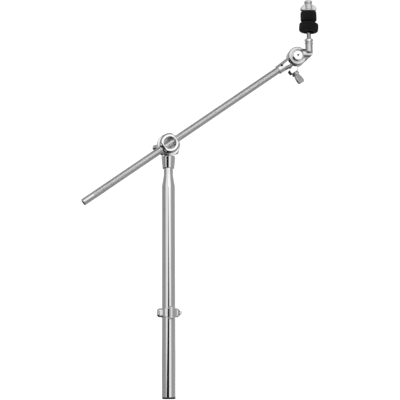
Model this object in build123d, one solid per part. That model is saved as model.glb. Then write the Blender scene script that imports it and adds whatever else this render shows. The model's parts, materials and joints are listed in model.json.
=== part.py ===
from build123d import *
from math import cos, radians, sin
import os

# Cymbal boom arm: a down tube that drops into a stand or rack clamp, a middle tilter that holds a
# sliding boom, and a cymbal tilter with its rod, felts and nut at the boom's end.
# Millimetres. The origin is the centre of the down tube's foot, +Z is up the tube, and the boom
# rises towards +X. The front of the arm faces -Y. Depths called "front" are measured towards -Y.

# ---- driving dimensions -------------------------------------------------------------------------
FIT = 0.05                # radial running clearance between parts that move on each other

TUBE_R = 11.1             # 22.2 mm (7/8 inch) down tube
TUBE_WALL = 1.5
TUBE_FOOT = 3.2           # height of the end plug's visible rim
TAPER_LOW = 355.0         # the tube is swaged down between these two heights
TAPER_HIGH = 374.0
NECK_R = 7.9
NECK_TOP = 403.0

SLEEVE_LOW = 386.0        # tapered socket of the tilter base
SLEEVE_TOP = 406.8
SLEEVE_LOW_R = 10.0
SLEEVE_TOP_R = 12.0

TILT_Z = 425.5            # height of the middle tilter's axis
BASE_R = 19.5             # round base disc, behind the drum
BASE_FRONT = 6.0
BASE_REAR = -9.0
WASHER_T = 1.0
DRUM_R = 17.0
DRUM_REAR = 7.1
DRUM_JOINT = 9.1          # where the drum's body meets its back plate
DRUM_STEP = 23.3          # the drum is round up to here and has two flats in front of it
DRUM_FRONT = 29.0
DRUM_FLAT = 12.4          # half distance between the drum's two flats
WINDOW_R = 10.2
STUD_R = 4.0              # M8
STUD_REAR = -33.0

BOOM_R = 6.0              # 12 mm boom
BOOM_BORE_R = 4.4
BOOM_FRONT = 16.5         # depth of the boom's axis in front of the tube's axis
BOOM_ANGLE = 35.0         # rise of the boom, degrees
BOOM_TAIL = -176.6        # rear end of the tail cap, from the tilter's axis
TAIL_CAP = 22.8           # plain length at the rear end

HEAD_REACH = 269.0        # middle tilter axis to cymbal tilter axis, along the boom
HEAD_RISE = 0.5           # the cymbal tilter's axis lies this far above the boom's axis
SOCKET_LENGTH = 39.6
SOCKET_MOUTH_R = 7.5
SOCKET_ROOT_R = 9.4
SOCKET_DEPTH = 11.0       # how far the boom goes into the socket
HEAD_HALF = 8.0           # half thickness of the clamp ring and its lugs
CLAMP_R = 16.0
HUB_R = 10.5
BOLT_ANGLE = -90.0        # wing bolt's direction, measured from the boom's
BOLT_OFFSET = 17.5        # distance from the clamp's axis to the wing bolt's axis
BOLT_R = 3.0              # M6
SLIT_AT_BOLT = 9.0        # where the slit crosses the wing bolt's axis, measured along the bolt
SLIT_SLANT = 0.316        # the slit runs this far along the bolt for each millimetre outwards
SLIT_HALF = 0.85          # half the slit's width, measured along the wing bolt
LUG_FACE = 20.3           # outer face of the free lug, measured along the wing bolt

ARM_REAR = HEAD_HALF + BOOM_FRONT + 0.4
DISC_FRONT = ARM_REAR + 6.0
ARM_FRONT = ARM_REAR + 8.5
CAP_R = 9.0
ROD_OUT = 19.8            # cymbal rod's axis, out from the cymbal tilter's axis
BOSS_R = 6.4
ROD_FRONT = ARM_REAR + BOSS_R
BOSS_TOP = 21.3           # heights below are measured from the cymbal tilter's axis
COLLAR_TOP = 29.2
COLLAR_R = 7.5
ROD_R = 3.6
ROD_THREAD_R = 3.0        # M6 upper end
SEAT_Z = 44.0
LOWER_FELT_Z = (42.6, 58.4)
LOWER_FELT_R = 16.7
UPPER_FELT_Z = (59.6, 78.2)
UPPER_FELT_R = 14.0
NUT_Z = (78.5, 96.4)
ROD_TOP = 94.5

LOCK_Z = 142.2            # memory lock's mid height on the tube
LOCK_HEIGHT = 15.0
LOCK_R = 13.8
LOCK_TURN = 13.6          # the lock stands turned this far on the tube, degrees
KEY_HEIGHT = 22.0
KEY_RELIEF = 0.9          # the key's two ends stand this far off the tube
MARK_LOW = 134.9          # turned line round the tube that shows the lock's usual height
MARK_HEIGHT = 0.8
MARK_DEPTH = 0.25
LOCK_BOLT_R = 3.0

# ---- frames -------------------------------------------------------------------------------------
BOOM_DIR = (cos(radians(BOOM_ANGLE)), 0, sin(radians(BOOM_ANGLE)))
BOOM_UP = (-sin(radians(BOOM_ANGLE)), 0, cos(radians(BOOM_ANGLE)))
HEAD_X = HEAD_REACH * BOOM_DIR[0] + HEAD_RISE * BOOM_UP[0]
HEAD_Z = TILT_Z + HEAD_REACH * BOOM_DIR[2] + HEAD_RISE * BOOM_UP[2]

# In the next four frames local z points to the front, so depths are positive towards the front.
BASE = Plane(origin=(0, 0, TILT_Z), x_dir=(1, 0, 0), z_dir=(0, -1, 0))
DRUM = Plane(origin=(0, 0, TILT_Z), x_dir=BOOM_DIR, z_dir=(0, -1, 0))
HEAD = Plane(origin=(HEAD_X, 0, HEAD_Z), x_dir=BOOM_DIR, z_dir=(0, -1, 0))
ARM = Plane(origin=(HEAD_X, 0, HEAD_Z), x_dir=(1, 0, 0), z_dir=(0, -1, 0))
# Local z runs up the cymbal rod here, along the boom in BOOM, and out of the wing bolt in BOLT.
ROD = Plane(origin=(HEAD_X + ROD_OUT, -ROD_FRONT, HEAD_Z), x_dir=(1, 0, 0), z_dir=(0, 0, 1))
BOOM = Plane(origin=(0, -BOOM_FRONT, TILT_Z), x_dir=BOOM_UP, z_dir=BOOM_DIR)
BOLT_DIR = (cos(radians(BOOM_ANGLE + BOLT_ANGLE)), 0, sin(radians(BOOM_ANGLE + BOLT_ANGLE)))
BOLT_SIDE = (BOLT_DIR[2], 0, -BOLT_DIR[0])
BOLT = Plane(
    origin=(HEAD_X + BOLT_OFFSET * BOLT_SIDE[0], -BOOM_FRONT, HEAD_Z + BOLT_OFFSET * BOLT_SIDE[2]),
    x_dir=BOLT_SIDE,
    z_dir=BOLT_DIR,
)
LOCK = Plane(
    origin=(0, 0, LOCK_Z),
    x_dir=(cos(radians(LOCK_TURN)), sin(radians(LOCK_TURN)), 0),
    z_dir=(0, 0, 1),
)
UPRIGHT = (Align.CENTER, Align.CENTER, Align.MIN)


# ---- helpers ------------------------------------------------------------------------------------
def cylinder(frame, radius, low, high, x=0, y=0):
    """Cylinder along the frame's z, between two positions."""
    return frame * Pos(x, y, low) * Cylinder(radius, high - low, align=UPRIGHT)


def cone(frame, low_r, high_r, low, high):
    """Cone frustum along the frame's z, between two positions."""
    return frame * Pos(0, 0, low) * Cone(low_r, high_r, high - low, align=UPRIGHT)


def cross_cylinder(frame, radius, low, high, y=0, z=0):
    """Cylinder along the frame's x, between two positions."""
    return frame * Pos(low, y, z) * Rot(0, 90, 0) * Cylinder(radius, high - low, align=UPRIGHT)


def block(frame, xs, ys, zs):
    """Box between pairs of positions in the frame."""
    size = [pair[1] - pair[0] for pair in (xs, ys, zs)]
    middle = [(pair[1] + pair[0]) / 2 for pair in (xs, ys, zs)]
    return frame * Pos(*middle) * Box(*size)


def plate(frame, points, low, high):
    """Straight-sided outline in the frame's xy plane, extruded between two depths."""
    outline = make_face(Polyline(*points, close=True))
    return frame * Pos(0, 0, low) * extrude(outline, high - low)


def ring(frame, inner, outer, low, high):
    """Washer shape around the frame's z."""
    return cylinder(frame, outer, low, high) - cylinder(frame, inner, low - 1, high + 1)


def turned(frame, points):
    """Solid turned from (radius, height) points around the frame's z."""
    outline = make_face(Polyline(*[(r, 0, z) for r, z in points], close=True))
    return frame * revolve(outline, Axis.Z, 360)


def edges_at(part, frame, position, tolerance=0.02):
    """Edges that lie wholly in the plane at one position along the frame's z."""
    found = []
    for edge in part.edges():
        heights = [frame.to_local_coords(edge @ share).Z for share in (0, 0.37, 0.71, 1)]
        if max(abs(height - position) for height in heights) < tolerance:
            found.append(edge)
    return found


def outer_edges(part, frame, position, beyond):
    """Edges at one position whose middle lies farther than beyond from the frame's z axis."""
    found = []
    for edge in edges_at(part, frame, position):
        spot = frame.to_local_coords(edge @ 0.5)
        if (spot.X**2 + spot.Y**2) ** 0.5 > beyond:
            found.append(edge)
    return found


def save(name, part):
    solids = part.solids()
    export_step(solids[0] if len(solids) == 1 else Compound(children=list(solids)), f"parts/{name}.step")


# ---- down tube ----------------------------------------------------------------------------------
def down_tube():
    bore = TUBE_R - TUBE_WALL
    neck_bore = NECK_R - TUBE_WALL
    tube = turned(
        Plane.XY,
        [
            (TUBE_R, TUBE_FOOT), (TUBE_R, TAPER_LOW), (NECK_R, TAPER_HIGH), (NECK_R, NECK_TOP),
            (neck_bore, NECK_TOP), (neck_bore, TAPER_HIGH), (bore, TAPER_LOW), (bore, TUBE_FOOT),
        ],
    )
    shoulders = outer_edges(tube, Plane.XY, TAPER_LOW, bore + 0.5)
    shoulders += outer_edges(tube, Plane.XY, TAPER_HIGH, neck_bore + 0.5)
    mark = ring(Plane.XY, TUBE_R - MARK_DEPTH, TUBE_R + 1, MARK_LOW, MARK_LOW + MARK_HEIGHT)
    return fillet(shoulders, 14) - pin_hole() - mark


def tube_end_plug():
    rim = cylinder(Plane.XY, TUBE_R, 0, TUBE_FOOT)
    rim = fillet(outer_edges(rim, Plane.XY, 0, TUBE_R - 1), 1.6)
    spigot = cylinder(Plane.XY, TUBE_R - TUBE_WALL, TUBE_FOOT, 20)
    return rim + spigot - cylinder(Plane.XY, 7.6, 6, 21)


PIN_Z = 395.0
PIN_R = 1.5


def pin_hole():
    frame = Plane(origin=(0, 0, PIN_Z), z_dir=(0, 1, 0))
    return cylinder(frame, PIN_R, -NECK_R, SLEEVE_TOP_R)


def base_roll_pin():
    frame = Plane(origin=(0, 0, PIN_Z), z_dir=(0, 1, 0))
    return cylinder(frame, PIN_R, -NECK_R + 0.4, SLEEVE_LOW_R + 0.4)


# ---- middle tilter ------------------------------------------------------------------------------
SPRING_POCKET_R = 7.2
SPRING_POCKET = 1.0


def tilter_base():
    sleeve = cone(Plane.XY, SLEEVE_LOW_R, SLEEVE_TOP_R, SLEEVE_LOW, SLEEVE_TOP)
    sleeve = fillet(edges_at(sleeve, Plane.XY, SLEEVE_LOW), 0.8)
    sleeve = fillet(edges_at(sleeve, Plane.XY, SLEEVE_TOP), 1.5)
    disc = cylinder(BASE, BASE_R, BASE_REAR, BASE_FRONT)
    disc = fillet(edges_at(disc, BASE, BASE_REAR), 2.0)
    disc = chamfer(edges_at(disc, BASE, BASE_FRONT), 0.8)
    neck = block(Plane.XY, (-10, 10), (-BASE_FRONT + 0.6, -BASE_REAR - 0.6), (SLEEVE_TOP - 3, TILT_Z - 12))
    body = sleeve + disc + neck
    body -= cylinder(Plane.XY, NECK_R, SLEEVE_LOW - 1, NECK_TOP)
    body -= cylinder(BASE, STUD_R + FIT, BASE_REAR - 1, BASE_FRONT + 1)
    body -= cylinder(BASE, SPRING_POCKET_R, BASE_REAR - 1, SPRING_POCKET)
    return body - pin_hole()


def friction_washer():
    return ring(BASE, STUD_R + 0.2, DRUM_R - 1.5, BASE_FRONT + 0.05, BASE_FRONT + WASHER_T)


def nut_washer():
    return ring(BASE, STUD_R + 0.2, 10.5, BASE_REAR - 1.5, BASE_REAR)


def release_spring():
    """Compression spring in the base's pocket, around the stud, that frees the drum when undone."""
    wire = 0.6
    coil_r = 5.8
    length = SPRING_POCKET - BASE_REAR - 2 * wire - 0.4
    path = Helix(pitch=2.2, height=length, radius=coil_r)
    section = Plane(origin=path @ 0, z_dir=path % 0) * Circle(wire)
    coil = sweep(section, path=path)
    return BASE * Pos(0, 0, BASE_REAR + wire + 0.2) * coil


SCREW_SPOTS = [(6.6, 12.2), (-6.6, 12.2), (6.6, -12.2), (-6.6, -12.2)]
SCREW_R = 1.5
SCREW_HEAD_R = 2.3
SCREW_HEAD = 1.1
CRADLE_R = 11.1
CRADLE_BASE = DRUM_JOINT + 2.1
LEG_OUT = 8.0
LEG_R = 2.2


def drum_body():
    """Round drum whose front part is narrowed by two flats square to the boom."""
    drum = cylinder(DRUM, DRUM_R, DRUM_JOINT, DRUM_STEP)
    drum = fillet(edges_at(drum, DRUM, DRUM_STEP), 4.2)
    root = DRUM_STEP - 5
    slope = DRUM_FRONT - 2.6
    front = turned(
        DRUM,
        [(0, root), (DRUM_R, root), (DRUM_R, slope), (DRUM_R - 2.9, DRUM_FRONT), (0, DRUM_FRONT)],
    )
    front &= block(DRUM, (-DRUM_FLAT, DRUM_FLAT), (-20, 20), (root, DRUM_FRONT))
    drum += fillet(edges_at(front, DRUM, DRUM_FRONT), 0.6)
    drum -= cross_cylinder(DRUM, BOOM_R + FIT, -20, 20, z=BOOM_FRONT)
    window = cylinder(DRUM, WINDOW_R, CRADLE_BASE, DRUM_FRONT + 1)
    drum -= window
    drum -= cylinder(DRUM, CRADLE_R + 0.1, DRUM_JOINT - 1, CRADLE_BASE + 0.1)
    rim = [e for e in edges_at(drum, DRUM, DRUM_FRONT) if e.geom_type == GeomType.CIRCLE]
    rim = [e for e in rim if abs(e.radius - WINDOW_R) < 0.05]
    drum = chamfer(rim, 0.7)
    for x, y in SCREW_SPOTS:
        drum -= cylinder(DRUM, SCREW_R, DRUM_JOINT - 1, DRUM_JOINT + 7.5, x, y)
    return drum


def drum_back_plate():
    back = cylinder(DRUM, DRUM_R, DRUM_REAR, DRUM_JOINT)
    back -= cylinder(DRUM, STUD_R, DRUM_REAR - 1, DRUM_JOINT + 1)
    back -= cylinder(DRUM, 5.2, DRUM_JOINT - 1.3, DRUM_JOINT + 1)
    for side in (-1, 1):
        back -= cylinder(DRUM, LEG_R + 0.1, DRUM_REAR - 1, DRUM_JOINT + 1, 0, side * LEG_OUT)
    for x, y in SCREW_SPOTS:
        back -= cylinder(DRUM, SCREW_R, DRUM_REAR - 1, DRUM_JOINT + 1, x, y)
        back -= cylinder(DRUM, SCREW_HEAD_R, DRUM_REAR - 1, DRUM_REAR + SCREW_HEAD, x, y)
    return back


def drum_screws():
    screws = []
    for x, y in SCREW_SPOTS:
        shank = cylinder(DRUM, SCREW_R, DRUM_REAR + SCREW_HEAD, DRUM_JOINT + 7, x, y)
        head = cylinder(DRUM, SCREW_HEAD_R, DRUM_REAR + 0.1, DRUM_REAR + SCREW_HEAD, x, y)
        screws.append((shank + head - cylinder(DRUM, 0.9, DRUM_REAR - 1, DRUM_REAR + 0.8, x, y)).solid())
    return Compound(children=screws)


def clamp_cradle():
    """Shoe behind the boom. Its two legs pass the back plate and bear on the friction washer."""
    cradle = cylinder(DRUM, CRADLE_R, DRUM_JOINT + 0.3, CRADLE_BASE)
    cradle += cylinder(DRUM, WINDOW_R - 0.1, CRADLE_BASE, BOOM_FRONT - 3.5)
    for side in (-1, 1):
        cradle += cylinder(DRUM, LEG_R, DRUM_REAR, DRUM_JOINT + 0.5, 0, side * LEG_OUT)
    return cradle - cross_cylinder(DRUM, BOOM_R + FIT, -20, 20, z=BOOM_FRONT)


def tilter_stud():
    head = cylinder(DRUM, 5.2, DRUM_JOINT - 1.3, DRUM_JOINT + 0.2)
    shank = cylinder(DRUM, STUD_R, STUD_REAR, DRUM_JOINT - 1.3)
    return chamfer(edges_at(shank, DRUM, STUD_REAR), 0.8) + head


WING_NUT_TURN = -10.0     # how the rear wing nut's wings stand, degrees from the X axis


def tilter_wing_nut():
    """Rear wing nut: a hub on the stud and two thick rounded wings that flare to the rear."""
    front = BASE_REAR - 1.6
    frame = BASE * Rot(0, 0, WING_NUT_TURN)
    hub = frame * Pos(0, 0, front - 18) * Cone(6.6, 8.4, 18, align=UPRIGHT)
    hub = fillet(edges_at(hub, BASE, front - 18), 1.4)
    outline = [
        (4.5, -14), (13, -23), (20, -34), (23, -41), (23, -47), (19.5, -50.5), (14.5, -48.5), (11, -38),
        (4.5, -27.5),
    ]
    nut = hub
    for side in (-1, 1):
        face = make_face(Polyline(*[(side * x, 0, z) for x, z in outline], close=True))
        wing = extrude(face, 3.9, both=True)
        wing = fillet(wing.edges(), 2.4)
        nut += frame * wing
    return nut - cylinder(BASE, STUD_R + FIT, front - 40, front + 1)


# ---- boom ---------------------------------------------------------------------------------------
ROD_START = BOOM_TAIL + TAIL_CAP
ROD_END = HEAD_REACH - SOCKET_LENGTH + SOCKET_DEPTH


def boom_rod():
    return ring(BOOM, BOOM_BORE_R, BOOM_R, ROD_START, ROD_END)


def boom_tail_cap():
    cap = cylinder(BOOM, BOOM_R, BOOM_TAIL, ROD_START - 0.1)
    cap = fillet(edges_at(cap, BOOM, BOOM_TAIL), 2.2)
    cap = chamfer(edges_at(cap, BOOM, ROD_START - 0.1), 0.4)
    return cap + cylinder(BOOM, BOOM_BORE_R - FIT, ROD_START - 0.1, ROD_START + 14)


# ---- cymbal tilter: the clamp at the boom's end --------------------------------------------------
SET_SCREW_X = -31.0       # along the boom, from the cymbal tilter's axis
SET_SCREW_TURN = 20.0     # round the boom, up from the front
SET_SCREW_R = 2.2


def lug_point(along, side):
    """Point in the HEAD frame from its distance along the wing bolt and away from the clamp's axis."""
    turn = radians(BOLT_ANGLE)
    return (along * cos(turn) + side * sin(turn), along * sin(turn) - side * cos(turn))


def set_screw_frame():
    turn = radians(SET_SCREW_TURN)
    along = HEAD_REACH + SET_SCREW_X
    origin = BOOM.from_local_coords(Vector(0, 0, along))
    out = Vector(*BOOM_UP) * sin(turn) + Vector(0, -1, 0) * cos(turn)
    return Plane(origin=origin, z_dir=out)


def boom_head():
    rear = BOOM_FRONT - HEAD_HALF
    front = BOOM_FRONT + HEAD_HALF
    clamp = cylinder(HEAD, CLAMP_R, rear, front)
    socket = cone(BOOM, SOCKET_MOUTH_R, SOCKET_ROOT_R, HEAD_REACH - SOCKET_LENGTH, HEAD_REACH - 8)
    socket = fillet(edges_at(socket, BOOM, HEAD_REACH - SOCKET_LENGTH), 0.8)
    socket = socket & block(HEAD, (-60, 30), (-40, 40), (rear, front))
    free_lug = [
        (4, 8), (13.5, 0), (14.6, 8), (LUG_FACE, 12), (LUG_FACE, 24.6), (17, 26), (12.5, 25.4), (9, 21),
    ]
    head = clamp + socket
    lug = plate(HEAD, [lug_point(*spot) for spot in free_lug], rear + 1, front - 1)
    head += fillet(edges_at(lug, HEAD, rear + 1) + edges_at(lug, HEAD, front - 1), 1.3)
    slit = []
    for side, edge in ((5, -SLIT_HALF), (5, SLIT_HALF), (45, SLIT_HALF), (45, -SLIT_HALF)):
        slit.append(lug_point(SLIT_AT_BOLT + SLIT_SLANT * (side - BOLT_OFFSET) + edge, side))
    head -= plate(HEAD, slit, rear - 1, front + 1)
    head -= cylinder(HEAD, HUB_R, rear - 1, front + 1)
    head -= cylinder(BOOM, BOOM_R, HEAD_REACH - SOCKET_LENGTH - 1, ROD_END)
    head -= cylinder(BOLT, BOLT_R + 0.03, -3.5, SLIT_AT_BOLT)
    head -= cylinder(BOLT, BOLT_R + 0.3, SLIT_AT_BOLT, LUG_FACE + 1)
    head -= cylinder(set_screw_frame(), SET_SCREW_R, BOOM_R - 0.5, 14)
    return head


def head_set_screw():
    frame = set_screw_frame()
    return cylinder(frame, SET_SCREW_R, BOOM_R, BOOM_R + 1.3) - cylinder(frame, 1.2, BOOM_R + 0.5, BOOM_R + 2)


def wing_bolt_washer():
    return ring(BOLT, BOLT_R + 0.2, 5.6, LUG_FACE + 0.02, LUG_FACE + 1.5)


WING_TURN = -42.0         # how the wing bolt's paddle stands, degrees out of the boom's plane


def tilter_wing_bolt():
    """Wing bolt: shank, round collar and one flat paddle with rounded corners."""
    collar = LUG_FACE + 1.6
    bolt = turned(
        BOLT,
        [
            (0, -2.5), (BOLT_R - 0.6, -2.5), (BOLT_R, -1.8), (BOLT_R, collar), (6.2, collar),
            (6.8, collar + 0.6), (6.8, collar + 2.6), (6.0, collar + 3.4), (0, collar + 3.4),
        ],
    )
    outline = [
        (-5, 0), (5, 0), (7.6, 4.4), (9.3, 9), (9.3, 15), (6.8, 17.6), (-6.8, 17.6), (-9.3, 15), (-9.3, 9),
        (-7.6, 4.4),
    ]
    paddle = extrude(make_face(Polyline(*[(x, 0, z) for x, z in outline], close=True)), 2.3, both=True)
    paddle = fillet(paddle.edges(), 1.1)
    return bolt + BOLT * Pos(0, 0, collar + 2) * Rot(0, 0, WING_TURN) * paddle


# ---- cymbal tilter: the tilting arm --------------------------------------------------------------
CAP_SPIGOT_R = 5.0
HUB_REAR = BOOM_FRONT - HEAD_HALF - 0.6
HUB_SCREW_R = 2.5
RECESS_IN = CAP_R + 0.2   # shallow ring around the cap
RECESS_OUT = 11.2
CROWN_Y = 4.4             # the arm's front is rounded above and below this height over the axis
UPPER_CROWN_R = 10.0
LOWER_CROWN_R = 16.5


def tilter_arm():
    """Disc, crowned arm and rod boss in one casting, with a hub that turns in the clamp."""
    disc = cylinder(ARM, CLAMP_R, ARM_REAR, DISC_FRONT)
    disc = fillet(edges_at(disc, ARM, DISC_FRONT), 2.2)
    recess = [
        (RECESS_IN, 1), (RECESS_OUT + 1, 1), (RECESS_OUT, 0), (RECESS_OUT - 0.9, -0.9), (RECESS_IN, -0.9),
    ]
    disc -= turned(ARM, [(r, DISC_FRONT + depth) for r, depth in recess])
    disc -= ring(ARM, 12.4, 12.9, DISC_FRONT - 0.5, DISC_FRONT + 1)
    outer = ROD_OUT + BOSS_R
    outline = [
        (1, CLAMP_R - 0.1), (6.5, 13.6), (13, 12.8), (outer, 12.8), (outer, 2.4), (11, -11.6),
        (7.4, -7.4), (10.6, 0), (7.4, 7.4),
    ]
    arm = plate(ARM, outline, ARM_REAR, ARM_FRONT)
    upper = arm & block(ARM, (0, outer), (CROWN_Y, 20), (ARM_REAR, ARM_FRONT))
    lower = arm & block(ARM, (0, outer), (-20, CROWN_Y), (ARM_REAR, ARM_FRONT))
    upper &= cross_cylinder(ARM, UPPER_CROWN_R, 0, outer + 1, CROWN_Y, ARM_FRONT - UPPER_CROWN_R)
    lower &= cross_cylinder(ARM, LOWER_CROWN_R, 0, outer + 1, CROWN_Y, ARM_FRONT - LOWER_CROWN_R)
    arm = upper + lower
    boss = cylinder(ROD, BOSS_R, 4.0, BOSS_TOP)
    boss = fillet(edges_at(boss, ROD, 4.0), 3.0)
    body = disc + arm + boss
    hub = cylinder(ARM, HUB_R - FIT, HUB_REAR, ARM_REAR)
    body += hub
    body -= cylinder(ROD, ROD_R, 7.0, BOSS_TOP + 1)
    body -= cylinder(ARM, CAP_SPIGOT_R, DISC_FRONT - 7, DISC_FRONT + 1)
    body -= cylinder(ARM, HUB_SCREW_R, HUB_REAR - 1, HUB_REAR + 11)
    return body


def arm_cap():
    cap = cylinder(ARM, CAP_R, DISC_FRONT, DISC_FRONT + 3.4)
    cap = fillet(edges_at(cap, ARM, DISC_FRONT + 3.4), 1.6)
    cap += cylinder(ARM, CAP_SPIGOT_R, DISC_FRONT - 6.5, DISC_FRONT)
    return cap - cylinder(ARM, 2.1, DISC_FRONT - 1.5, DISC_FRONT + 5)


def hub_washer():
    return ring(ARM, HUB_SCREW_R + 0.1, 13.5, HUB_REAR - 1.7, HUB_REAR)


def hub_screw():
    head = cylinder(ARM, 4.6, HUB_REAR - 5.2, HUB_REAR - 1.7)
    head = fillet(edges_at(head, ARM, HUB_REAR - 5.2), 0.8)
    shank = cylinder(ARM, HUB_SCREW_R, HUB_REAR - 1.7, HUB_REAR + 10)
    socket = extrude(RegularPolygon(2.0, 6), 2.2)
    return head + shank - ARM * Pos(0, 0, HUB_REAR - 5.2) * socket


# ---- cymbal rod, felts and nut --------------------------------------------------------------------
def cymbal_rod():
    rod = cylinder(ROD, ROD_R, 7.2, SEAT_Z)
    thread = cylinder(ROD, ROD_THREAD_R, SEAT_Z, ROD_TOP)
    return rod + chamfer(edges_at(thread, ROD, ROD_TOP), 0.7)


def rod_lock_nut():
    """Round jam nut with a groove, screwed down onto the arm's boss."""
    nut = cylinder(ROD, COLLAR_R, BOSS_TOP, COLLAR_TOP)
    nut = chamfer(edges_at(nut, ROD, COLLAR_TOP), 1.0)
    groove = [(COLLAR_R + 0.5, 0), (COLLAR_R - 2.2, 2.1), (COLLAR_R + 0.5, 4.2)]
    nut -= turned(ROD, [(r, BOSS_TOP + 0.4 + z) for r, z in groove])
    return nut - cylinder(ROD, ROD_R, BOSS_TOP - 1, COLLAR_TOP + 1)


def cymbal_seat():
    """Flanged plastic sleeve that keeps the cymbal's hole off the thread."""
    seat = cylinder(ROD, 8.5, SEAT_Z, SEAT_Z + 2) + cylinder(ROD, 5.0, SEAT_Z, UPPER_FELT_Z[1] - 0.4)
    return seat - cylinder(ROD, ROD_THREAD_R + FIT, SEAT_Z - 1, ROD_TOP)


def lower_felt():
    felt = cylinder(ROD, LOWER_FELT_R, *LOWER_FELT_Z)
    felt = fillet(edges_at(felt, ROD, LOWER_FELT_Z[0]) + edges_at(felt, ROD, LOWER_FELT_Z[1]), 2.2)
    felt -= cylinder(ROD, 5.0 + FIT, LOWER_FELT_Z[0] - 1, LOWER_FELT_Z[1] + 1)
    return felt - cylinder(ROD, 8.7, LOWER_FELT_Z[0] - 1, SEAT_Z + 2.05)


def upper_felt():
    felt = cylinder(ROD, UPPER_FELT_R, *UPPER_FELT_Z)
    felt = fillet(edges_at(felt, ROD, UPPER_FELT_Z[0]) + edges_at(felt, ROD, UPPER_FELT_Z[1]), 2.6)
    return felt - cylinder(ROD, 5.0 + FIT, UPPER_FELT_Z[0] - 1, UPPER_FELT_Z[1] + 1)


def cymbal_nut():
    """Wing nut with a broad foot, two shoulders and a necked top boss."""
    low, high = NUT_Z
    hub = turned(
        ROD,
        [
            (0, low), (9.5, low), (9.5, low + 1.6), (7.4, low + 3), (7.0, low + 11), (5.4, low + 12.2),
            (5.4, low + 13.4), (6.9, low + 13.9), (6.9, high - 0.8), (6.2, high), (0, high),
        ],
    )
    outline = [(5, 0.4), (12.6, 0.4), (13.7, 1.6), (13.8, 5.2), (12.6, 7.6), (8.4, 10.8), (5, 11.4)]
    nut = hub
    for side in (-1, 1):
        face = make_face(Polyline(*[(side * x, 0, low + z) for x, z in outline], close=True))
        wing = extrude(face, 3.9, both=True)
        nut += ROD * fillet(wing.edges(), 1.5)
    return nut - cylinder(ROD, ROD_THREAD_R + FIT, low - 1, high + 1)


# ---- memory lock --------------------------------------------------------------------------------
def memory_lock_ring():
    half = LOCK_HEIGHT / 2
    body = cylinder(LOCK, LOCK_R, -half, half)
    body = fillet(edges_at(body, LOCK, -half) + edges_at(body, LOCK, half), 0.8)
    ear = block(LOCK, (-20.2, -8), (-4.6, 4.6), (-half, half))
    ear = fillet([e for e in ear.edges() if (e @ 0.5).X < -12], 4.2)
    boss = block(LOCK, (8, 18.0), (-5.6, 5.6), (-half, half))
    boss = fillet([e for e in boss.edges() if (e @ 0.5).X > 10], 3.6)
    key = block(LOCK, (-3.75, 3.75), (-15.6, -8), (-KEY_HEIGHT / 2, KEY_HEIGHT / 2))
    key = fillet([e for e in key.edges() if LOCK.to_local_coords(e @ 0.5).Y < -15], 2.8)
    body += ear + boss + key
    body -= cylinder(LOCK, TUBE_R + FIT, -20, 20)
    for low, high in ((-20, -half), (half, 20)):
        body -= cylinder(LOCK, TUBE_R + KEY_RELIEF, low, high)
    body -= cross_cylinder(LOCK, LOCK_BOLT_R + 0.03, 10, 20)
    return body


def lock_pad():
    pad = cross_cylinder(LOCK, LOCK_BOLT_R - 0.1, 10.5, 13)
    return pad - cylinder(LOCK, TUBE_R + FIT, -20, 20)


def lock_key_bolt():
    """Square-headed tuning-key bolt that presses the pad against the tube."""
    shank = cross_cylinder(LOCK, LOCK_BOLT_R, 13.1, 18.2)
    flange = cross_cylinder(LOCK, 4.6, 18.1, 19.3)
    head = block(LOCK, (19.2, 23.0), (-2.9, 2.9), (-2.9, 2.9))
    head = fillet([e for e in head.edges() if LOCK.to_local_coords(e @ 0.5).X > 22.9], 0.5)
    return shank + flange + head


# ---- write every node ---------------------------------------------------------------------------
NODES = [
    down_tube, tube_end_plug, base_roll_pin, tilter_base, friction_washer, nut_washer, release_spring,
    drum_body, drum_back_plate, drum_screws, clamp_cradle, tilter_stud, tilter_wing_nut,
    boom_rod, boom_tail_cap, boom_head, head_set_screw, wing_bolt_washer, tilter_wing_bolt,
    tilter_arm, arm_cap, hub_washer, hub_screw, cymbal_rod, rod_lock_nut, cymbal_seat,
    lower_felt, upper_felt, cymbal_nut, memory_lock_ring, lock_pad, lock_key_bolt,
]

os.makedirs("parts", exist_ok=True)
for node in NODES:
    save(node.__name__, node())
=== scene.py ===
import json
import math

import bmesh
import bpy
from mathutils import Matrix, Vector, noise


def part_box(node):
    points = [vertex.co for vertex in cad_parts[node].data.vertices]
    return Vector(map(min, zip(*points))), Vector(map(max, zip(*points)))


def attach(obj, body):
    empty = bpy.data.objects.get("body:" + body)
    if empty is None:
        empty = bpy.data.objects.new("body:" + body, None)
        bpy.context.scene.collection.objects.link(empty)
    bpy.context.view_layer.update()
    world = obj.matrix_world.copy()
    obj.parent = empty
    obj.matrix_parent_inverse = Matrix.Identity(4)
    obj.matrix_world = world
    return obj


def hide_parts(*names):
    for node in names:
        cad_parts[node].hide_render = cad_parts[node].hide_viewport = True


# Looks for the cymbal boom arm: chrome, a knurled boom, pressed felts and moulded plastic, in a plain
# pale studio. Metres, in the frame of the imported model. +Z is up the down tube and -Y is the front.

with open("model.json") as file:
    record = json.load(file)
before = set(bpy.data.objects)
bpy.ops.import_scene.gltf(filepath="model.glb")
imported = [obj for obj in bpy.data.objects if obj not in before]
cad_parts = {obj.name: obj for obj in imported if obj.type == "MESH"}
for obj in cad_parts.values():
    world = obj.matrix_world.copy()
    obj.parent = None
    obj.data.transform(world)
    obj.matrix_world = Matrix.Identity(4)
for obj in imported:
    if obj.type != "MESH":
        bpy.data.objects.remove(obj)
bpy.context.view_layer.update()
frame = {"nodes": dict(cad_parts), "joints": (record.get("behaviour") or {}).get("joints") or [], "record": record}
nodes = frame["nodes"]
record = frame["record"]

MM = 0.001


# ---- positions read from the frame ---------------------------------------------------------------
def joint(name):
    return next(j for j in frame["joints"] if j["name"] == name)


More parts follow.
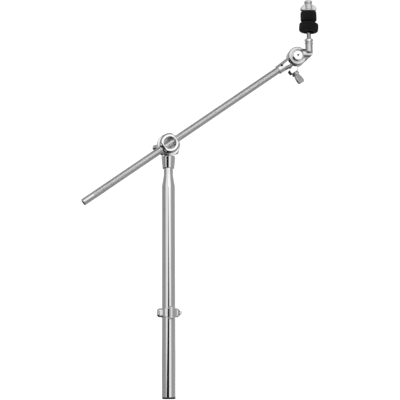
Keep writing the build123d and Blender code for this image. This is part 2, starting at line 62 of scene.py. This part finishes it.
BOOM_DIR = Vector(joint("boom_roll")["axis"]).normalized()
BOOM_POINT = Vector(joint("boom_roll")["pos_m"])
ROD_POINT = Vector(joint("cymbal_nut_turn")["pos_m"])


# ---- small node and mesh helpers -----------------------------------------------------------------
class Nodes:
    """Adds nodes to a tree and joins them with short calls."""

    def __init__(self, tree):
        self.tree = tree

    def add(self, kind, inputs=None, **settings):
        node = self.tree.nodes.new(kind)
        for key, value in settings.items():
            setattr(node, key, value)
        for key, value in (inputs or {}).items():
            self.put(node.inputs[key], value)
        return node

    def put(self, socket, value):
        if isinstance(value, bpy.types.NodeSocket):
            self.tree.links.new(value, socket)
        else:
            socket.default_value = value

    def math(self, operation, a, b=0.0):
        node = self.add("ShaderNodeMath", operation=operation)
        self.put(node.inputs[0], a)
        self.put(node.inputs[1], b)
        return node.outputs[0]

    def mix(self, share, a, b):
        """a where share is 0, b where it is 1, for plain numbers."""
        return self.math("ADD", a, self.math("MULTIPLY", share, self.math("SUBTRACT", b, a)))

    def step(self, value, low, high):
        """Smooth step from 0 at low to 1 at high."""
        node = self.add("ShaderNodeMapRange", interpolation_type="SMOOTHSTEP")
        for key, entry in (("Value", value), ("From Min", low), ("From Max", high)):
            self.put(node.inputs[key], entry)
        return node.outputs["Result"]


def new_material(name):
    material = bpy.data.materials.new(name)
    material.use_nodes = True
    tree = material.node_tree
    tree.nodes.clear()
    n = Nodes(tree)
    shader = n.add("ShaderNodeBsdfPrincipled")
    output = n.add("ShaderNodeOutputMaterial")
    tree.links.new(shader.outputs["BSDF"], output.inputs["Surface"])
    return material, n, shader


def colour_ramp(n, value, stops):
    ramp = n.add("ShaderNodeValToRGB", {"Fac": value})
    while len(ramp.color_ramp.elements) < len(stops):
        ramp.color_ramp.elements.new(0.5)
    for element, (place, colour) in zip(ramp.color_ramp.elements, stops):
        element.position = place
        element.color = (*colour, 1)
    return ramp.outputs["Color"]


def noise_at(n, coordinates, scale, detail=4.0, roughness=0.55, stretch=None):
    """Noise factor at object coordinates, optionally stretched along the axes."""
    if stretch:
        coordinates = n.add("ShaderNodeMapping", {"Vector": coordinates, "Scale": stretch}).outputs[0]
    inputs = {"Vector": coordinates, "Scale": scale, "Detail": detail, "Roughness": roughness}
    return n.add("ShaderNodeTexNoise", inputs).outputs["Fac"]


# ---- materials -----------------------------------------------------------------------------------
def plated_metal(name, colour, rough, wear=0.04, grain=0.015, haze=0.04):
    """Plated or polished metal with hairline scratches, handling haze and faint plating ripple."""
    material, n, shader = new_material(name)
    place = n.add("ShaderNodeTexCoord").outputs["Object"]
    haze_map = noise_at(n, place, 60.0, 5.0)
    scratches = noise_at(n, place, 900.0, 2.0, stretch=(1.0, 1.0, 0.04))
    ripple = noise_at(n, place, 140.0, 2.0)
    dark = tuple(channel * (1 - wear) for channel in colour)
    n.put(shader.inputs["Base Color"], colour_ramp(n, haze_map, [(0.35, dark), (0.65, colour)]))
    roughness = n.math("ADD", rough, n.math("MULTIPLY", haze_map, haze))
    roughness = n.math("ADD", roughness, n.math("MULTIPLY", n.step(scratches, 0.62, 0.72), haze))
    n.put(shader.inputs["Roughness"], roughness)
    n.put(shader.inputs["Metallic"], 1.0)
    height = n.math("ADD", n.math("MULTIPLY", ripple, 0.6), n.math("MULTIPLY", scratches, 0.4))
    bump = n.add("ShaderNodeBump", {"Height": height, "Strength": grain, "Distance": 0.0004})
    n.put(shader.inputs["Normal"], bump.outputs["Normal"])
    return material


def plastic(name, colour, rough):
    """Moulded plastic with a faint spark-eroded grain."""
    material, n, shader = new_material(name)
    place = n.add("ShaderNodeTexCoord").outputs["Object"]
    grain = noise_at(n, place, 1400.0, 3.0)
    cloud = noise_at(n, place, 45.0, 3.0)
    light = tuple(min(1.0, channel * 1.8) for channel in colour)
    n.put(shader.inputs["Base Color"], colour_ramp(n, cloud, [(0.35, colour), (0.7, light)]))
    n.put(shader.inputs["Roughness"], n.math("ADD", rough, n.math("MULTIPLY", grain, 0.12)))
    bump = n.add("ShaderNodeBump", {"Height": grain, "Strength": 0.25, "Distance": 0.0002})
    n.put(shader.inputs["Normal"], bump.outputs["Normal"])
    return material


def felt(name):
    """Pressed black wool felt: matted fibre, lint and a soft sheen."""
    material, n, shader = new_material(name)
    place = n.add("ShaderNodeTexCoord").outputs["Object"]
    fibre = noise_at(n, place, 900.0, 6.0, 0.7)
    strand = n.add("ShaderNodeTexVoronoi", {"Vector": place, "Scale": 1300.0}, feature="DISTANCE_TO_EDGE")
    lint = n.step(noise_at(n, place, 2600.0, 2.0), 0.66, 0.76)
    matted = n.math("ADD", n.math("MULTIPLY", fibre, 0.7), n.math("MULTIPLY", strand.outputs[0], 0.9))
    base = colour_ramp(n, matted, [(0.25, (0.002, 0.002, 0.0022)), (0.75, (0.010, 0.010, 0.011))])
    # A colour mix keeps its two colours in sockets 6 and 7 and its result in output 2.
    mixed = n.add("ShaderNodeMix", data_type="RGBA")
    n.put(mixed.inputs["Factor"], n.math("MULTIPLY", lint, 0.25))
    n.put(mixed.inputs[6], base)
    n.put(mixed.inputs[7], (0.09, 0.09, 0.095, 1))
    n.put(shader.inputs["Base Color"], mixed.outputs[2])
    n.put(shader.inputs["Roughness"], n.math("ADD", 0.86, n.math("MULTIPLY", fibre, 0.12)))
    n.put(shader.inputs["Specular IOR Level"], 0.1)
    n.put(shader.inputs["Sheen Weight"], 0.03)
    n.put(shader.inputs["Sheen Roughness"], 0.5)
    bump = n.add("ShaderNodeBump", {"Height": matted, "Strength": 0.8, "Distance": 0.0005})
    n.put(shader.inputs["Normal"], bump.outputs["Normal"])
    return material


def fibre_board(name):
    """Black vulcanised fibre: matt, with a streaky paper grain."""
    material, n, shader = new_material(name)
    place = n.add("ShaderNodeTexCoord").outputs["Object"]
    streak = noise_at(n, place, 300.0, 5.0, stretch=(1.0, 1.0, 0.2))
    n.put(
        shader.inputs["Base Color"],
        colour_ramp(n, streak, [(0.3, (0.018, 0.017, 0.017)), (0.7, (0.05, 0.048, 0.046))]),
    )
    n.put(shader.inputs["Roughness"], n.math("ADD", 0.6, n.math("MULTIPLY", streak, 0.2)))
    bump = n.add("ShaderNodeBump", {"Height": streak, "Strength": 0.3, "Distance": 0.0002})
    n.put(shader.inputs["Normal"], bump.outputs["Normal"])
    return material


MATERIALS = {
    "chrome": plated_metal("chrome_plate", (0.93, 0.93, 0.935), 0.035),
    "knurled_chrome": plated_metal(
        "knurled_chrome_plate", (0.97, 0.97, 0.972), 0.10, wear=0.05, haze=0.08
    ),
    "satin_metal": plated_metal(
        "satin_silver", (0.90, 0.90, 0.905), 0.40, wear=0.05, grain=0.06, haze=0.08
    ),
    "zinc_steel": plated_metal(
        "bright_zinc", (0.56, 0.56, 0.565), 0.24, wear=0.15, grain=0.05, haze=0.12
    ),
    "black_oxide": plated_metal(
        "black_oxide_steel", (0.02, 0.02, 0.021), 0.42, wear=0.3, grain=0.04, haze=0.10
    ),
    "fibre": fibre_board("vulcanised_fibre"),
    "black_plastic": plastic("black_moulding", (0.010, 0.010, 0.011), 0.45),
    "black_felt": felt("pressed_felt"),
}
# The cast arm and the rolled rod take the same plating less brightly. This is painted shade: a darker base colour
# stands in for the shade that falls on them.
PAINTED_SHADE_PLATING = {
    "tilter_arm": plated_metal(
        "cast_chrome_painted_shade", (0.73, 0.73, 0.735), 0.09, wear=0.12, grain=0.05, haze=0.10
    ),
    "cymbal_rod": plated_metal(
        "rolled_chrome_painted_shade", (0.44, 0.44, 0.445), 0.07, wear=0.10, haze=0.08
    ),
}
SLOT_OF = {part["node"]: part["material_slot"] for part in record["subparts"]}
for name, node in nodes.items():
    for slot in node.material_slots:
        slot.material = PAINTED_SHADE_PLATING.get(name) or MATERIALS[SLOT_OF[name]]


# ---- new pieces ----------------------------------------------------------------------------------
def solid_mesh(name, points, faces, slot, smooth):
    """Object from points and faces, with its normals turned outwards and one material."""
    mesh = bpy.data.meshes.new(name)
    mesh.from_pydata(points, [], faces)
    bm = bmesh.new()
    bm.from_mesh(mesh)
    bmesh.ops.recalc_face_normals(bm, faces=bm.faces)
    bm.to_mesh(mesh)
    bm.free()
    if smooth:
        mesh.shade_smooth()
    else:
        mesh.shade_flat()
    mesh.materials.append(MATERIALS[slot])
    piece = bpy.data.objects.new(name, mesh)
    bpy.context.scene.collection.objects.link(piece)
    return piece


KNURLS_ROUND = 24
KNURL_DEPTH = 0.28 * MM
KNURL_TOP = 0.5           # share of a diamond that its flat top takes up
BOOM_BORE = 4.4 * MM      # radius


def knurled_boom():
    """The boom with a diamond knurl over its whole length. Each diamond has a flat top, four sloping
    sides and a groove crossing at each corner. Steps are counted in half diamonds round and along."""
    low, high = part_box("boom_rod")
    radius = (high.y - low.y) / 2
    start = (low.x + radius * BOOM_DIR.z) / BOOM_DIR.x
    end = (high.x - radius * BOOM_DIR.z) / BOOM_DIR.x
    up = Vector((-BOOM_DIR.z, 0, BOOM_DIR.x))
    front = Vector((0, -1, 0))
    round_steps = 2 * KNURLS_ROUND
    half_pitch = math.pi * radius / KNURLS_ROUND
    steps = 2 * round((end - start) / (2 * half_pitch))
    points, faces = [], []

    def place(turn_step, along_step, reach):
        turn = 2 * math.pi * turn_step / round_steps
        along = start + (end - start) * along_step / steps
        points.append(BOOM_POINT + along * BOOM_DIR + reach * (math.cos(turn) * front + math.sin(turn) * up))
        return len(points) - 1

    crossing = {}
    for i in range(round_steps):
        for j in range((i + 1) % 2, steps + 1, 2):
            crossing[i, j] = place(i, j, radius - KNURL_DEPTH)
    sides = [(1, 0), (0, 1), (-1, 0), (0, -1)]
    for i in range(round_steps):
        for j in range(i % 2, steps + 1, 2):
            if j in (0, steps):
                continue
            top = [place(i + KNURL_TOP * a, j + KNURL_TOP * b, radius) for a, b in sides]
            low_corner = [crossing[(i + a) % round_steps, j + b] for a, b in sides]
            faces.append(top)
            for k in range(4):
                m = (k + 1) % 4
                faces.append([low_corner[k], low_corner[m], top[m], top[k]])
    bore = {}
    for j, inner in ((0, 1), (steps, steps - 1)):
        for i in range(1, round_steps, 2):
            bore[i, j] = place(i, j, BOOM_BORE)
        for i in range(1, round_steps, 2):
            following = (i + 2) % round_steps
            faces.append([crossing[i, j], crossing[following, j], crossing[(i + 1) % round_steps, inner]])
            faces.append([crossing[i, j], crossing[following, j], bore[following, j], bore[i, j]])
    for i in range(1, round_steps, 2):
        following = (i + 2) % round_steps
        faces.append([bore[i, 0], bore[following, 0], bore[following, steps], bore[i, steps]])
    piece = solid_mesh("boom_knurled_tube", points, faces, "knurled_chrome", smooth=False)
    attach(piece, "boom")
    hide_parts("boom_rod")


FELT_STEP = 0.45 * MM     # mesh spacing along a felt's outline
FELTS_ROUND = 220         # mesh points round a felt
FELT_CORNER = 3.1 * MM
FELT_BULGE = 0.35 * MM
LUMP_DEPTH = 0.16 * MM
MATTED_DEPTH = 0.15 * MM
LUMPS, TUFTS, FIBRES = 160, 700, 1500       # noise cells in a metre
SIDE_ROOM = 0.45 * MM     # kept inside the CAD solid for the bulge and the lumps
BORE_SMOOTH = 0.5 * MM    # the bore's wall stays free of lumps this far out


def rounded_profile(inner, outer, low, high, corner, bulge, recess):
    """(radius, height) outline of a felt washer: soft corners, a crowned side and a recess under it."""
    outline = []

    def line(a, b):
        count = max(1, round(math.dist(a, b) / FELT_STEP))
        for k in range(count):
            share = k / count
            outline.append((a[0] + (b[0] - a[0]) * share, a[1] + (b[1] - a[1]) * share))

    def arc(centre, first, last):
        count = round(abs(last - first) * corner / FELT_STEP)
        for k in range(count):
            turn = first + (last - first) * k / count
            outline.append((centre[0] + corner * math.cos(turn), centre[1] + corner * math.sin(turn)))

    recess_out, recess_top = recess
    line((recess_out, low), (outer - corner, low))
    arc((outer - corner, low + corner), -math.pi / 2, 0)
    line((outer, low + corner), (outer, high - corner))
    arc((outer - corner, high - corner), 0, math.pi / 2)
    line((outer - corner, high), (inner, high))
    line((inner, high), (inner, recess_top))
    if recess_out > inner:
        line((inner, recess_top), (recess_out, recess_top))
        line((recess_out, recess_top), (recess_out, low))
    middle_height = (low + high) / 2
    half = (high - low) / 2
    crowned = []
    for r, z in outline:
        swell = bulge * max(0.0, 1 - ((z - middle_height) / half) ** 2)
        crowned.append((r + swell if r > outer - corner else r, z))
    return crowned


def felt_pad(name, node, body, inner, recess, trim, lean, seed):
    """Pressed felt washer in place of its CAD solid, with lumps and matted fibre in its surface.
    trim is how far its underside sits above the solid's, and its top below. seed shifts the noise."""
    low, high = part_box(node)
    outer = (high.x - low.x) / 2 - SIDE_ROOM
    bottom, top = low.z + trim[0], high.z - trim[1]
    axis = Vector((ROD_POINT.x, ROD_POINT.y, 0))
    outline = rounded_profile(inner, outer, bottom, top, FELT_CORNER, FELT_BULGE, recess)
    centre = Vector((0, 0, (bottom + top) / 2))
    turn = Matrix.Rotation(lean, 3, "Y")
    offset = Vector((seed, 2.0 * seed, 0.5 * seed))
    points, faces = [], []
    for k in range(FELTS_ROUND):
        angle = 2 * math.pi * k / FELTS_ROUND
        out = Vector((math.cos(angle), math.sin(angle), 0))
        for r, z in outline:
            point = r * out + Vector((0, 0, z))
            away = (point - centre).normalized()
            lump = noise.noise(point * LUMPS + offset)
            matted = noise.noise(point * TUFTS + offset) + 0.6 * noise.noise(point * FIBRES + offset)
            if r > inner + BORE_SMOOTH:
                point += (LUMP_DEPTH * lump + MATTED_DEPTH * matted) * away
            points.append(axis + centre + turn @ (point - centre))
    count = len(outline)
    for k in range(FELTS_ROUND):
        m = (k + 1) % FELTS_ROUND
        for j in range(count):
            following = (j + 1) % count
            faces.append([k * count + j, m * count + j, m * count + following, k * count + following])
    piece = solid_mesh(name, points, faces, "black_felt", smooth=True)
    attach(piece, body)
    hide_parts(node)


knurled_boom()

# The lower pad sits over the seat's flange, in a recess, and leans. The upper pad is nearly level.
FLANGE_HEIGHT = 2.0 * MM
FLANGE_GAP = 0.9 * MM
LOWER_BORE, LOWER_RECESS = 5.7 * MM, 9.4 * MM
LOWER_TRIM = (-0.7 * MM, 1.2 * MM)
LOWER_LEAN = math.radians(4.4)
UPPER_BORE = 5.4 * MM
UPPER_TRIM = (0.15 * MM, 0.15 * MM)
UPPER_LEAN = math.radians(-0.8)
recess_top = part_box("cymbal_seat")[0].z + FLANGE_HEIGHT + FLANGE_GAP
felt_pad(
    "lower_felt_pad", "lower_felt", "lower_felt", LOWER_BORE, (LOWER_RECESS, recess_top),
    LOWER_TRIM, LOWER_LEAN, seed=3.0,
)
upper_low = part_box("upper_felt")[0].z
felt_pad(
    "upper_felt_pad", "upper_felt", "upper_felt", UPPER_BORE, (UPPER_BORE, upper_low),
    UPPER_TRIM, UPPER_LEAN, seed=11.0,
)


# ---- studio --------------------------------------------------------------------------------------
# Brightness of the studio's parts, as the metal sees them.
LEFT_WALL, RIGHT_WALL, RIM_WALL = 0.285, 0.33, 0.45
PANEL, PANEL_SPOT = 0.80, 1.10
DARK_SIDE, DIM_SIDE, DIM_RIM = 0.015, 0.29, 0.42
FLOOR_BOUNCE = 0.46
STAND = 0.008
WHITE = 1.15              # what the camera and matt surfaces see
SMALLEST = 0.0001         # keeps the division by the reach clear of zero

# Places in the studio, in mirror-ball units: 0 is the ball's middle and 1 its rim. A pair of values
# is where a change begins and where it ends.
RIM_CHANGE = (0.78, 0.98)
WALL_CHANGE = (-0.3, 0.3)
PANEL_MIDDLE, PANEL_HALF, PANEL_TOP = -0.01, 0.41, 0.42
SPOT_X, SPOT_Y, SPOT_RADIUS = 0.14, 0.23, 0.17
SIDE_SOFT, TOP_SOFT, SPOT_SOFT = 0.07, 0.08, 0.09
LOW_EDGE_LEFT, LOW_EDGE_MIDDLE, LOW_EDGE_RIGHT = -0.12, 0.01, -0.16
LEFT_CHANGE, RIGHT_CHANGE = (-0.6, -0.2), (0.12, 0.34)
LOW_EDGE_CHANGE = (-0.05, 0.02)
DUSK_CHANGE = (0.02, 0.42)
BOUNCE_MIDDLE, BOUNCE_HALF, BOUNCE_RIGHT = -0.34, 0.11, 0.24
BOUNCE_CHANGE = (-0.34, -0.14)
BOUNCE_SOFT, BOUNCE_RIGHT_SOFT = 0.05, 0.10
STAND_TOP, STAND_SPREAD, STAND_WIDEST = 0.14, 1.8, 0.19
STAND_LEAN, STAND_FOOT, STAND_RIGHT = 3.2, 0.228, 0.03
STAND_IN, STAND_OUT, STAND_FADE = 0.03, 0.02, 0.03


def build_world():
    """White to the camera and for soft light. Metal sees a studio that stands still round the camera:
    a bright panel behind the camera, grey walls beyond it and a dark stand that widens downwards."""
    world = bpy.data.worlds.new("studio")
    bpy.context.scene.world = world
    world.use_nodes = True
    world.node_tree.nodes.clear()
    n = Nodes(world.node_tree)
    ray = n.add("ShaderNodeTexCoord").outputs["Generated"]
    turn = n.add("ShaderNodeVectorTransform", {"Vector": ray}, vector_type="VECTOR")
    turn.convert_from = "WORLD"
    turn.convert_to = "CAMERA"
    split = n.add("ShaderNodeSeparateXYZ", {"Vector": turn.outputs[0]})
    right, up, away = split.outputs
    # Where a mirror ball seen by the camera would show this direction: 0 at its middle, 1 at its rim.
    reach = n.math("MULTIPLY", 2.0, n.math("SUBTRACT", 1.0, away))
    reach = n.math("SQRT", n.math("MAXIMUM", reach, SMALLEST))
    ball_x = n.math("DIVIDE", right, reach)
    ball_y = n.math("DIVIDE", up, reach)

    def distance(x, y):
        across = n.math("POWER", n.math("SUBTRACT", ball_x, x), 2.0)
        along = n.math("POWER", n.math("SUBTRACT", ball_y, y), 2.0)
        return n.math("SQRT", n.math("ADD", across, along))

    def inside(value, edge, soft):
        return n.math("SUBTRACT", 1.0, n.step(value, edge - soft, edge + soft))

    rim = n.step(distance(0.0, 0.0), *RIM_CHANGE)
    wall = n.mix(rim, n.mix(n.step(ball_x, *WALL_CHANGE), LEFT_WALL, RIGHT_WALL), RIM_WALL)

    # The panel's lower edge drops away on both sides. Below it the left is black and the right dim.
    left_edge = n.mix(n.step(ball_x, *LEFT_CHANGE), LOW_EDGE_LEFT, LOW_EDGE_MIDDLE)
    edge = n.mix(n.step(ball_x, *RIGHT_CHANGE), left_edge, LOW_EDGE_RIGHT)
    below = n.math("SUBTRACT", 1.0, n.step(n.math("SUBTRACT", ball_y, edge), *LOW_EDGE_CHANGE))
    dusk = n.mix(n.step(ball_x, *DUSK_CHANGE), DARK_SIDE, n.mix(rim, DIM_SIDE, DIM_RIM))

    # A pale strip of floor lights the middle of the dark part.
    lower_band = n.math("ABSOLUTE", n.math("SUBTRACT", ball_y, BOUNCE_MIDDLE))
    bounce = inside(lower_band, BOUNCE_HALF, BOUNCE_SOFT)
    bounce = n.math("MULTIPLY", bounce, n.step(ball_x, *BOUNCE_CHANGE))
    bounce = n.math("MULTIPLY", bounce, inside(ball_x, BOUNCE_RIGHT, BOUNCE_RIGHT_SOFT))
    wall = n.mix(below, wall, n.mix(bounce, dusk, FLOOR_BOUNCE))

    panel = n.math("ABSOLUTE", n.math("SUBTRACT", ball_x, PANEL_MIDDLE))
    panel = inside(panel, PANEL_HALF, SIDE_SOFT)
    panel = n.math("MULTIPLY", panel, n.math("SUBTRACT", 1.0, below))
    panel = n.math("MULTIPLY", panel, inside(ball_y, PANEL_TOP, TOP_SOFT))
    spot = inside(distance(SPOT_X, SPOT_Y), SPOT_RADIUS, SPOT_SOFT)
    light = n.mix(panel, wall, n.mix(spot, PANEL, PANEL_SPOT))

    # The dark stand widens downwards and leans to the left.
    half = n.math("MULTIPLY", n.math("SUBTRACT", STAND_TOP, ball_y), STAND_SPREAD)
    half = n.math("MINIMUM", half, STAND_WIDEST)
    centre = n.math("SUBTRACT", n.math("MULTIPLY", ball_y, STAND_LEAN), STAND_FOOT)
    centre = n.math("MINIMUM", centre, STAND_RIGHT)
    off = n.math("ABSOLUTE", n.math("SUBTRACT", ball_x, centre))
    outside = n.step(off, n.math("SUBTRACT", half, STAND_IN), n.math("ADD", half, STAND_OUT))
    stand = n.math("MULTIPLY", n.math("SUBTRACT", 1.0, outside), n.step(half, 0.0, STAND_FADE))
    light = n.mix(stand, light, STAND)

    path = n.add("ShaderNodeLightPath")
    shiny = path.outputs["Is Glossy Ray"]
    strength = n.mix(shiny, WHITE, light)
    background = n.add("ShaderNodeBackground", {"Color": (1, 1, 1, 1), "Strength": strength})
    output = n.add("ShaderNodeOutputWorld")
    n.put(output.inputs["Surface"], background.outputs[0])


FLOOR_RADIUS = 40.0


def build_floor():
    """Pale matt floor at the height of the tube's foot. The metal doesn't reflect it."""
    mesh = bpy.data.meshes.new("studio_floor")
    bm = bmesh.new()
    bmesh.ops.create_circle(bm, cap_ends=True, segments=96, radius=FLOOR_RADIUS)
    bm.to_mesh(mesh)
    bm.free()
    floor = bpy.data.objects.new("studio_floor", mesh)
    bpy.context.scene.collection.objects.link(floor)
    material, n, shader = new_material("pale_floor")
    place = n.add("ShaderNodeTexCoord").outputs["Object"]
    cloud = noise_at(n, place, 3.0, 3.0)
    n.put(
        shader.inputs["Base Color"],
        colour_ramp(n, cloud, [(0.3, (0.90, 0.90, 0.90)), (0.7, (0.92, 0.92, 0.92))]),
    )
    n.put(shader.inputs["Roughness"], 0.9)
    n.put(shader.inputs["Specular IOR Level"], 0.0)
    mesh.materials.append(material)
    floor.visible_glossy = False


def build_lights():
    """One large soft disc above the left front."""
    light = bpy.data.lights.new("soft_key", "AREA")
    light.shape = "DISK"
    light.size = 1.6
    light.energy = 38.0
    key = bpy.data.objects.new("soft_key", light)
    key.location = (-0.9, -1.2, 2.6)
    aim = Vector((0.05, 0, 0.2)) - key.location
    key.rotation_euler = aim.to_track_quat("-Z", "Y").to_euler()
    key.visible_glossy = False
    bpy.context.scene.collection.objects.link(key)


def build_camera():
    """A long lens from low on the left of the front, looking slightly up at the arm."""
    turn, tilt, roll = math.radians(7.5), math.radians(7.0), math.radians(-0.3)
    eye = Vector((-0.2099, -2.0031, 0.0847))
    forward = Vector((math.sin(turn) * math.cos(tilt), math.cos(turn) * math.cos(tilt), math.sin(tilt)))
    right = Vector((math.cos(turn), -math.sin(turn), 0.0))
    up = right.cross(forward)
    rolled_right = math.cos(roll) * right + math.sin(roll) * up
    rolled_up = math.cos(roll) * up - math.sin(roll) * right
    data = bpy.data.cameras.new("camera")
    data.sensor_width = 36.0
    data.lens = 108.0
    data.clip_end = 200.0
    camera = bpy.data.objects.new("camera", data)
    axes = Matrix((rolled_right, rolled_up, -forward)).transposed()
    camera.matrix_world = Matrix.Translation(eye) @ axes.to_4x4()
    bpy.context.scene.collection.objects.link(camera)
    bpy.context.scene.camera = camera


build_world()
build_floor()
build_lights()
build_camera()
bpy.context.scene.view_settings.view_transform = "Standard"
